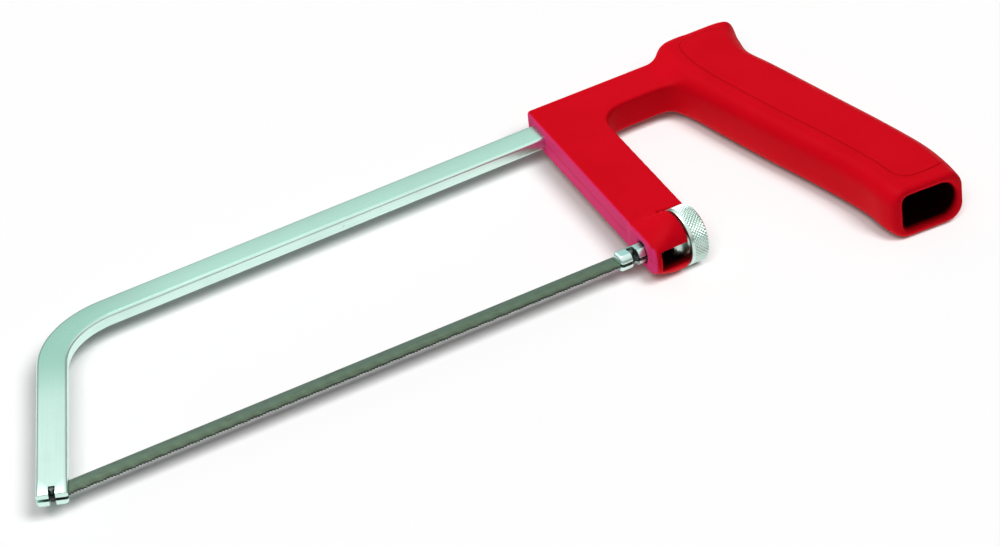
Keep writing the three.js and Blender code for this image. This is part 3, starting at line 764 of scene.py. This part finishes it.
def make_nut():
    """A closed profile turned round the stud's axis. On the knurled band the radius drops into two sets of
    V grooves, one winding each way, by the deeper of the two."""
    front, rear = NUT_X
    knurl_x = np.linspace(front + NUT_BEVEL + NUT_RIM, rear - NUT_BEVEL, KNURL_ROWS)
    dish = front + DISH_DEPTH
    before = [(rear, NUT_BORE_RADIUS), (HUB_X, NUT_BORE_RADIUS), (HUB_X, HUB_RADIUS - HUB_BEVEL),
              (HUB_X + HUB_BEVEL, HUB_RADIUS), (dish - HUB_FILLET, HUB_RADIUS),
              (dish, HUB_RADIUS + HUB_FILLET), (dish, DISH_RADIUS - DISH_FILLET),
              (dish - DISH_FILLET, DISH_RADIUS), (front + DISH_BEVEL, DISH_RADIUS),
              (front, DISH_RADIUS + DISH_BEVEL), (front, NUT_RADIUS - NUT_BEVEL),
              (front + NUT_BEVEL_BULGE, NUT_RADIUS - NUT_BEVEL_BULGE), (front + NUT_BEVEL, NUT_RADIUS),
              (front + NUT_BEVEL + NUT_RIM - KNURL_LEAD, NUT_RADIUS)]
    after = [(rear, NUT_RADIUS - KNURL_DEPTH - NUT_BEVEL)]
    knurl = [(x, NUT_RADIUS) for x in knurl_x]
    profile = np.array(before + knurl + after)
    knurled = np.zeros(len(profile))
    knurled[len(before):-2] = 1
    turn = np.linspace(0, 1, KNURL_COUNT * POINTS_IN_KNURL, endpoint=False)
    winding = KNURL_COUNT * turn
    forward = (profile[:, :1] - front) / KNURL_PITCH
    grooves = [np.abs(2 * ((winding + side * forward) % 1) - 1) for side in (1, -1)]
    depth = KNURL_DEPTH * (1 - np.minimum(*grooves)) * knurled[:, None]
    radius = profile[:, 1:] - depth
    radius[-2] -= KNURL_DEPTH
    angle = 2 * np.pi * turn
    points = np.stack([
        np.broadcast_to(profile[:, :1], radius.shape), radius * np.cos(angle), radius * np.sin(angle)], -1)
    faces = ring_faces(*radius.shape, loop=True)
    return make_piece("knurled_thumb_nut", points.reshape(-1, 3), faces, crease=NUT_CREASE)


def plated_nut():
    """Plate colour on the crests and the turned faces, darker and rougher in the knurl's grooves, by their
    radius.
    """
    finish = Finish("plated_nut")
    place = finish.place()
    axis = (0, *front_pin[1:])
    from_axis = finish.node("ShaderNodeVectorMath", {"operation": "SUBTRACT"}, {0: place, 1: axis})
    flat = finish.node("ShaderNodeVectorMath", {"operation": "MULTIPLY"}, {0: from_axis, 1: (0, 1, 1)})
    radius = finish.node("ShaderNodeVectorMath", {"operation": "LENGTH"}, {0: flat}, "Value") * (1 / MM)
    groove = (1 - radius.ramp(NUT_RADIUS - KNURL_DEPTH, NUT_RADIUS)) * radius.ramp(*KNURL_BAND)
    cloud = finish.noise(place, NUT_CLOUDS, 3)
    dull = groove * 0.8 + cloud.ramp(0.5, 0.8) * 0.2
    color = finish.blend(NUT_TINT, NUT_TINT_LOW, dull)
    rough = 0.24 + groove * 0.2 + cloud * 0.1
    return finish.close(Base_Color=color, Metallic=1.0, Roughness=rough)


nut = make_nut()
nut.data.materials.append(plated_nut())
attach(nut, "nut")
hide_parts("knurled_nut")

# The tension stud is a zinc plated steel rod with two flats. It slides in the collar without turning.
# Its front is slit for the blade and notched across for its pin, and its rear is threaded for the nut.
STUD_X = (146.1, 166.3)
STUD_RADIUS = 2.4
STUD_FLAT = 2.05
STUD_FLAT_RISE = (STUD_FLAT - 0.08, STUD_FLAT - 0.01)
STUD_CHAMFER = 0.9
STUD_CHAMFER_STEPS = 5
STUD_NECK = 0.6
STUD_KERF = 0.8
STUD_KERF_END_X = 156
STUD_NOTCH_X = (149.25, 151.05)
STUD_NOTCH_TOP_Y = 0.95
THREAD_START_X = 158.6
THREAD_PITCH = 0.7
THREAD_STEPS = 6
THREAD_RADIUS = 1.95
THREAD_DEPTH = 0.4
STUD_SIDES = 72
LEAST_RISE = 1e-6
ROD_RINGS = (3500, 60, 60)
ROD_RING_DEPTH = 0.004
ROD_PATCHES = 350
STUD_TINT = (0.70, 0.90, 0.84)
STUD_TINT_DULL = (0.42, 0.58, 0.54)
STUD_FLAT_PAINTED_REFLECTION_TINT = (0.32, 0.60, 0.56)


def make_stud():
    """Rings about the stud's axis. The plain part is round but for its two flats. On the thread the radius
    drops from crest to root and back once in each pitch."""
    front, rear = STUD_X
    arc = np.linspace(0, np.pi / 2, STUD_CHAMFER_STEPS)
    chamfer = STUD_CHAMFER * (1 - np.cos(arc))
    nose_x = front + STUD_CHAMFER * (1 - np.sin(arc))[::-1]
    thread_x = np.arange(THREAD_START_X, rear, THREAD_PITCH / THREAD_STEPS)
    x = np.concatenate([nose_x, [THREAD_START_X - STUD_NECK], thread_x])
    turn = np.linspace(0, 1, STUD_SIDES, endpoint=False)
    angle = 2 * np.pi * turn
    plain = np.full((len(x), 1), STUD_RADIUS)
    plain[: len(nose_x), 0] -= chamfer[::-1]
    flat = STUD_FLAT - (STUD_RADIUS - plain)
    rise = np.maximum(np.abs(np.sin(angle)), LEAST_RISE)
    radius = np.minimum(plain, flat / rise)
    phase = ((x[:, None] - THREAD_START_X) / THREAD_PITCH - turn) % 1
    thread = THREAD_RADIUS - THREAD_DEPTH * np.abs(2 * phase - 1)
    radius = np.where(x[:, None] < THREAD_START_X, radius, thread)
    points = np.stack([
        np.broadcast_to(x[:, None], radius.shape), radius * np.cos(angle), radius * np.sin(angle)], -1)
    faces = ring_faces(*radius.shape), *end_faces(*radius.shape)
    made = make_piece("stud_rod", points.reshape(-1, 3), *faces)
    wide = 2 * STUD_RADIUS
    kerf = block([front - CUT_PAST, STUD_KERF_END_X], [-wide, wide], [-STUD_KERF / 2, STUD_KERF / 2])
    notch = block(STUD_NOTCH_X, [-wide, STUD_NOTCH_TOP_Y], [-wide, wide])
    cut(made, kerf, notch)
    return made


def plated_rod():
    """Zinc plate on turned rod: faint rings round the axis and duller patches; the flats are darkened as a
    painted reflection.
    """
    finish = Finish("plated_rod")
    place = finish.place()
    rings = finish.noise(place, 1, 3, ROD_RINGS)
    patch = finish.noise(place, ROD_PATCHES, 3)
    color = finish.blend(STUD_TINT, STUD_TINT_DULL, patch.ramp(0.4, 0.8) * 0.5 + rings * 0.15)
    # The flats are painted darker: a painted reflection.
    flat = abs(finish.from_pin("Z")).ramp(*STUD_FLAT_RISE)
    color = finish.blend(color, STUD_FLAT_PAINTED_REFLECTION_TINT, flat * 0.85)
    rough = 0.2 + patch * 0.12 + rings * 0.08
    normal = finish.bump(rings, ROD_RING_DEPTH)
    return finish.close(Base_Color=color, Metallic=1.0, Roughness=rough, Normal=normal)


stud = make_stud()
stud.data.materials.append(plated_rod())
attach(stud, "stud")
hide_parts("tension_stud")

# The two cross-pins are short lengths of steel wire pressed through the blade near its ends, with their cut
# ends slightly rounded. They hook behind the leg's cheeks and the stud's cheeks.
PIN_SPACING = 150
PIN_RADIUS = 0.65
PIN_LENGTH = 3.4
PIN_ROUND = 0.2
PIN_ROUND_STEPS = 5
PIN_SIDES = 32
PIN_CLOUDS = 1200
# The pins' dark colours are painted shade from the slits they sit in.
PIN_SHADE_TINT = (0.12, 0.14, 0.13)
PIN_SHADE_TINT_DULL = (0.05, 0.055, 0.05)


def make_pin(name, x):
    """A turned profile: a straight side with a quarter-round edge at each end."""
    arc = np.linspace(0, np.pi / 2, PIN_ROUND_STEPS)
    radius = PIN_RADIUS - PIN_ROUND * (1 - np.cos(arc))
    height = PIN_LENGTH / 2 - PIN_ROUND * (1 - np.sin(arc))
    profile_r = np.concatenate([radius[::-1], radius])
    profile_z = np.concatenate([-height[::-1], height])
    angle = np.linspace(0, 2 * np.pi, PIN_SIDES, endpoint=False)
    points = np.stack(np.broadcast_arrays(
        x + profile_r[:, None] * np.cos(angle), profile_r[:, None] * np.sin(angle), profile_z[:, None]), -1)
    shape = points.shape[:2]
    return make_piece(name, points.reshape(-1, 3), ring_faces(*shape), *end_faces(*shape))


def shaded_wire_steel():
    """Bare drawn wire, a little dull, its colour darkened as painted shade where the pins sit in the slits.
    """
    finish = Finish("shaded_wire_steel")
    cloud = finish.noise(finish.place(), PIN_CLOUDS, 3)
    color = finish.blend(PIN_SHADE_TINT, PIN_SHADE_TINT_DULL, cloud.ramp(0.4, 0.8) * 0.6)
    return finish.close(Base_Color=color, Metallic=1.0, Roughness=0.3 + cloud * 0.15)


pin_finish = shaded_wire_steel()
pins = (("front_pin", "blade_front_pin", 0), ("rear_pin", "blade_rear_pin", PIN_SPACING))
for pin_name, node, pin_x in pins:
    pin = make_pin(pin_name, pin_x)
    pin.data.materials.append(pin_finish)
    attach(pin, "blade")
    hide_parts(node)

# The blade is a narrow strip of tempered steel, with fine raked teeth set in a slight wave to both sides.
# Rolling and tempering leave it dark, bluish along the back and brown near the teeth.
BLADE_WIDTH = 4.7
BLADE_THICKNESS = 0.6
BLADE_X = (-1.2, 151.6)
BLADE_EDGE = 0.1
TOOTH_PITCH = 0.8
TOOTH_DEPTH = 0.5
TOOTH_RAKE = 0.75
TOOTH_ROOT = 0.25
TOOTH_THINNING = 0.35
TEETH_IN_WAVE = 5
WAVE_SET = 0.06
BLADE_CREASE = 25
BACK_BAND_Y = (-0.6, 1.4)
BACK_BAND_SWAY = 2
LOW_BAND_Y = (-1.6, -0.4)
LOW_BAND_SWAY = 1.2
TEETH_BAND_Y = (-2.0, -1.6)
PIN_END_SHADE_X = (0.8, 2.2)
STUD_END_SHADE_X = (148.5, 149.4)
BLADE_STREAKS = (40, 2200, 900)
BLADE_STREAK_DEPTH = 0.008
BLADE_CLOUDS = (60, 400, 400)
BLADE_MOTTLE = (300, 900, 900)
BLADE_BLUE = (0.105, 0.160, 0.125)
BLADE_GREY = (0.110, 0.170, 0.115)
BLADE_BROWN = (0.085, 0.115, 0.078)
BLADE_GRIME_AND_SHADE = (0.020, 0.025, 0.025)


def make_blade():
    """The strip's section at every gullet and every tooth tip, its lower edge up by a tooth's depth at the
    gullets and moved sideways in a sine wave along the blade."""
    front, rear = BLADE_X
    tooth = np.arange(int((rear - front) / TOOTH_PITCH))
    gullet = front + tooth * TOOTH_PITCH
    x = np.append(np.stack([gullet, gullet + TOOTH_RAKE * TOOTH_PITCH], -1).ravel(), rear)
    tip = np.append(np.tile([0, 1], len(tooth)), 0)
    half, top, foot = BLADE_THICKNESS / 2, BLADE_WIDTH / 2, -BLADE_WIDTH / 2
    root = foot + TOOTH_DEPTH + TOOTH_ROOT
    ring_y = np.array([foot, root, top - BLADE_EDGE, top, top, top - BLADE_EDGE, root, foot])
    ring_z = np.array([half, half, half, half - BLADE_EDGE, BLADE_EDGE - half, -half, -half, -half])
    at_teeth = ring_y == foot
    y = ring_y + at_teeth * (TOOTH_DEPTH * (1 - tip))[:, None]
    wave = WAVE_SET * np.sin(2 * np.pi * x / (TOOTH_PITCH * TEETH_IN_WAVE))
    z = ring_z * (1 - TOOTH_THINNING * at_teeth) + at_teeth * wave[:, None]
    points = np.stack([np.broadcast_to(x[:, None], y.shape), y, z], -1)[:, ::-1]
    faces = ring_faces(*y.shape), *end_faces(*y.shape)
    return make_piece("blade_strip", points.reshape(-1, 3), *faces, crease=BLADE_CREASE)


def tempered_strip():
    """Dark rolled strip: streaks along it, a bluish back, brown mottling and a brown band above the teeth.
    It is darker in the teeth and along some streaks, and both ends, which sit in the slits of the leg and
    the stud, are darkened as painted shade."""
    finish = Finish("tempered_strip")
    place = finish.place()
    upward = finish.from_pin("Y")
    forward = finish.from_pin("X")
    streak = finish.noise(place, 1, 4, BLADE_STREAKS)
    cloud = finish.noise(place, 1, 3, BLADE_CLOUDS)
    mottle = finish.noise(place, 1, 3, BLADE_MOTTLE)
    back = (upward + (cloud - 0.5) * BACK_BAND_SWAY).ramp(*BACK_BAND_Y)
    low_band = 1 - (upward + (cloud - 0.5) * LOW_BAND_SWAY).ramp(*LOW_BAND_Y)
    teeth = 1 - upward.ramp(*TEETH_BAND_Y)
    # Both ends of the blade, inside the slits of the leg and the stud, are darkened as painted shade.
    pin_end_shade = 1 - forward.ramp(*PIN_END_SHADE_X)
    stud_end_shade = forward.ramp(*STUD_END_SHADE_X)
    grime_and_shade = teeth * 0.55 + streak.ramp(0.5, 0.85) * 0.3 + pin_end_shade + stud_end_shade
    color = finish.blend(BLADE_GREY, BLADE_BLUE, back)
    color = finish.blend(color, BLADE_BROWN, low_band * 0.7)
    color = finish.blend(color, BLADE_BROWN, mottle.ramp(0.5, 0.7) * 0.6)
    color = finish.blend(color, BLADE_GRIME_AND_SHADE, grime_and_shade.ramp(0, 1))
    rough = 0.34 + streak * 0.18
    normal = finish.bump(streak, BLADE_STREAK_DEPTH)
    return finish.close(Base_Color=color, Metallic=1.0, Roughness=rough, Normal=normal)


blade = make_blade()
blade.data.materials.append(tempered_strip())
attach(blade, "blade")
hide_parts("blade")

# The saw lies on a plain white table in a soft white tent. One broad lamp hangs over the saw, and two lower
# ones in front light the table alone, so that the saw's soft shadow lies close round it.
# Lengths in this section are metres.
FLOOR_SIZE = 8
FLOOR_DROP = 0.0002
FLOOR_TINT = (0.60, 0.60, 0.60)
FLOOR_LIFT = 0.035
BLACK = (0, 0, 0)
WHITE = (1, 1, 1)
SEEN_RAYS = ("Is Camera Ray", "Is Glossy Ray", "Is Transmission Ray")
TENT_LEVEL = 0.18
HORIZON_DIP = 0.85
HORIZON_RISE = (0.2, 0.48)
OVERHEAD_PLACE = (-0.3, 0.3, 1.3)
OVERHEAD_SIZE = 1.1
OVERHEAD_WATTS = 15.8
FRONT_LAMPS = {"front_lamp": ((0.12, -0.80, 1.0), 3.54), "left_lamp": ((-0.55, -0.78, 1.0), 2.33)}
FRONT_LAMP_SPREAD = np.radians(24)


def light_path(finish, *kinds):
    """1 for rays of any of the kinds, and 0 for others."""
    total = 0
    for kind in kinds:
        total = total + finish.node("ShaderNodeLightPath", {}, {}, kind)
    return total.ramp(0, 1)


half_floor = FLOOR_SIZE / 2
floor_mesh = bpy.data.meshes.new("table")
floor_corners = [(-half_floor, -half_floor), (half_floor, -half_floor), (half_floor, half_floor),
                 (-half_floor, half_floor)]
floor_mesh.from_pydata([(x, y, -FLOOR_DROP) for x, y in floor_corners], [], [(0, 1, 2, 3)])
floor = bpy.data.objects.new("table", floor_mesh)
bpy.context.scene.collection.objects.link(floor)
table = Finish("white_table")
lift = light_path(table, *SEEN_RAYS) * FLOOR_LIFT
floor_mesh.materials.append(table.close(
    Base_Color=(*FLOOR_TINT, 1), Roughness=0.9, Specular_IOR_Level=0.0,
    Emission_Color=table.blend(BLACK, WHITE, lift), Emission_Strength=1.0))


def add_lamp(name, kind, place, level, lights_floor):
    """A lamp that shines from its place towards the saw, on the floor alone or on all but the floor."""
    data = bpy.data.lights.new(name, kind)
    data.energy = level
    made = bpy.data.objects.new(name, data)
    made.location = place
    made.rotation_euler = made.location.to_track_quat("Z", "Y").to_euler()
    bpy.context.scene.collection.objects.link(made)
    receivers = bpy.data.collections.new(name)
    receivers.objects.link(floor)
    receivers.collection_objects[0].light_linking.link_state = "INCLUDE" if lights_floor else "EXCLUDE"
    made.light_linking.receiver_collection = receivers
    return made


overhead = add_lamp("overhead", "AREA", OVERHEAD_PLACE, OVERHEAD_WATTS, lights_floor=False)
overhead.data.shape = "DISK"
overhead.data.size = OVERHEAD_SIZE
for lamp_name, (lamp_place, lamp_level) in FRONT_LAMPS.items():
    table_lamp = add_lamp(lamp_name, "SUN", lamp_place, lamp_level, lights_floor=True)
    table_lamp.data.angle = FRONT_LAMP_SPREAD


class Tent(Finish):
    """The world's nodes: white where it is seen, dimmer in mirrors near the horizon, and dim as a light."""

    def __init__(self):
        self.material = bpy.data.worlds.new("tent")
        self.material.use_nodes = True
        self.material.node_tree.nodes.clear()


tent = Tent()
heading = tent.node("ShaderNodeTexCoord", {}, {}, "Generated")
skyward = tent.measure(heading, "Z")
dip = light_path(tent, "Is Glossy Ray") * (1 - skyward.ramp(*HORIZON_RISE)) * HORIZON_DIP
seen = light_path(tent, *SEEN_RAYS)
level = TENT_LEVEL + seen * (1 - TENT_LEVEL) - dip
glow = tent.node("ShaderNodeBackground", {}, {"Color": (*WHITE, 1), "Strength": level})
tent.node("ShaderNodeOutputWorld", {}, {"Surface": glow})
bpy.context.scene.world = tent.material

# The camera looks down from the saw's front left through a long lens, tipped a little to one side.
# Its place, angles and lens were fitted to the edges of the blade, the bow and the nut in the photograph.
CAMERA_PLACE = (-260.0, -731.05, 543.65)
CAMERA_AZIMUTH = np.radians(-27.195)
CAMERA_HEIGHT = np.radians(33.0)
CAMERA_TIP = np.radians(6.522)
CAMERA_LENS = 154.8
CAMERA_SENSOR = 36
CAMERA_FAR = 50

azimuth_cos, azimuth_sin = np.cos(CAMERA_AZIMUTH), np.sin(CAMERA_AZIMUTH)
height_cos, height_sin = np.cos(CAMERA_HEIGHT), np.sin(CAMERA_HEIGHT)
backward = np.array([azimuth_sin * height_cos, -azimuth_cos * height_cos, height_sin])
level_right = np.array([azimuth_cos, azimuth_sin, 0])
level_up = np.cross(backward, level_right)
right = np.cos(CAMERA_TIP) * level_right - np.sin(CAMERA_TIP) * level_up
upward = np.sin(CAMERA_TIP) * level_right + np.cos(CAMERA_TIP) * level_up
eye = np.array(CAMERA_PLACE) * MM + front_pin
camera_data = bpy.data.cameras.new("camera")
camera_data.lens = CAMERA_LENS
camera_data.sensor_width = CAMERA_SENSOR
camera_data.sensor_fit = "HORIZONTAL"
camera_data.clip_end = CAMERA_FAR
camera = bpy.data.objects.new("camera", camera_data)
turned = np.stack([right, upward, backward], -1)
camera.matrix_world = Matrix([(*row, place) for row, place in zip(turned, eye)] + [(0, 0, 0, 1)])
bpy.context.scene.collection.objects.link(camera)
bpy.context.scene.camera = camera
bpy.context.scene.view_settings.view_transform = "Standard"
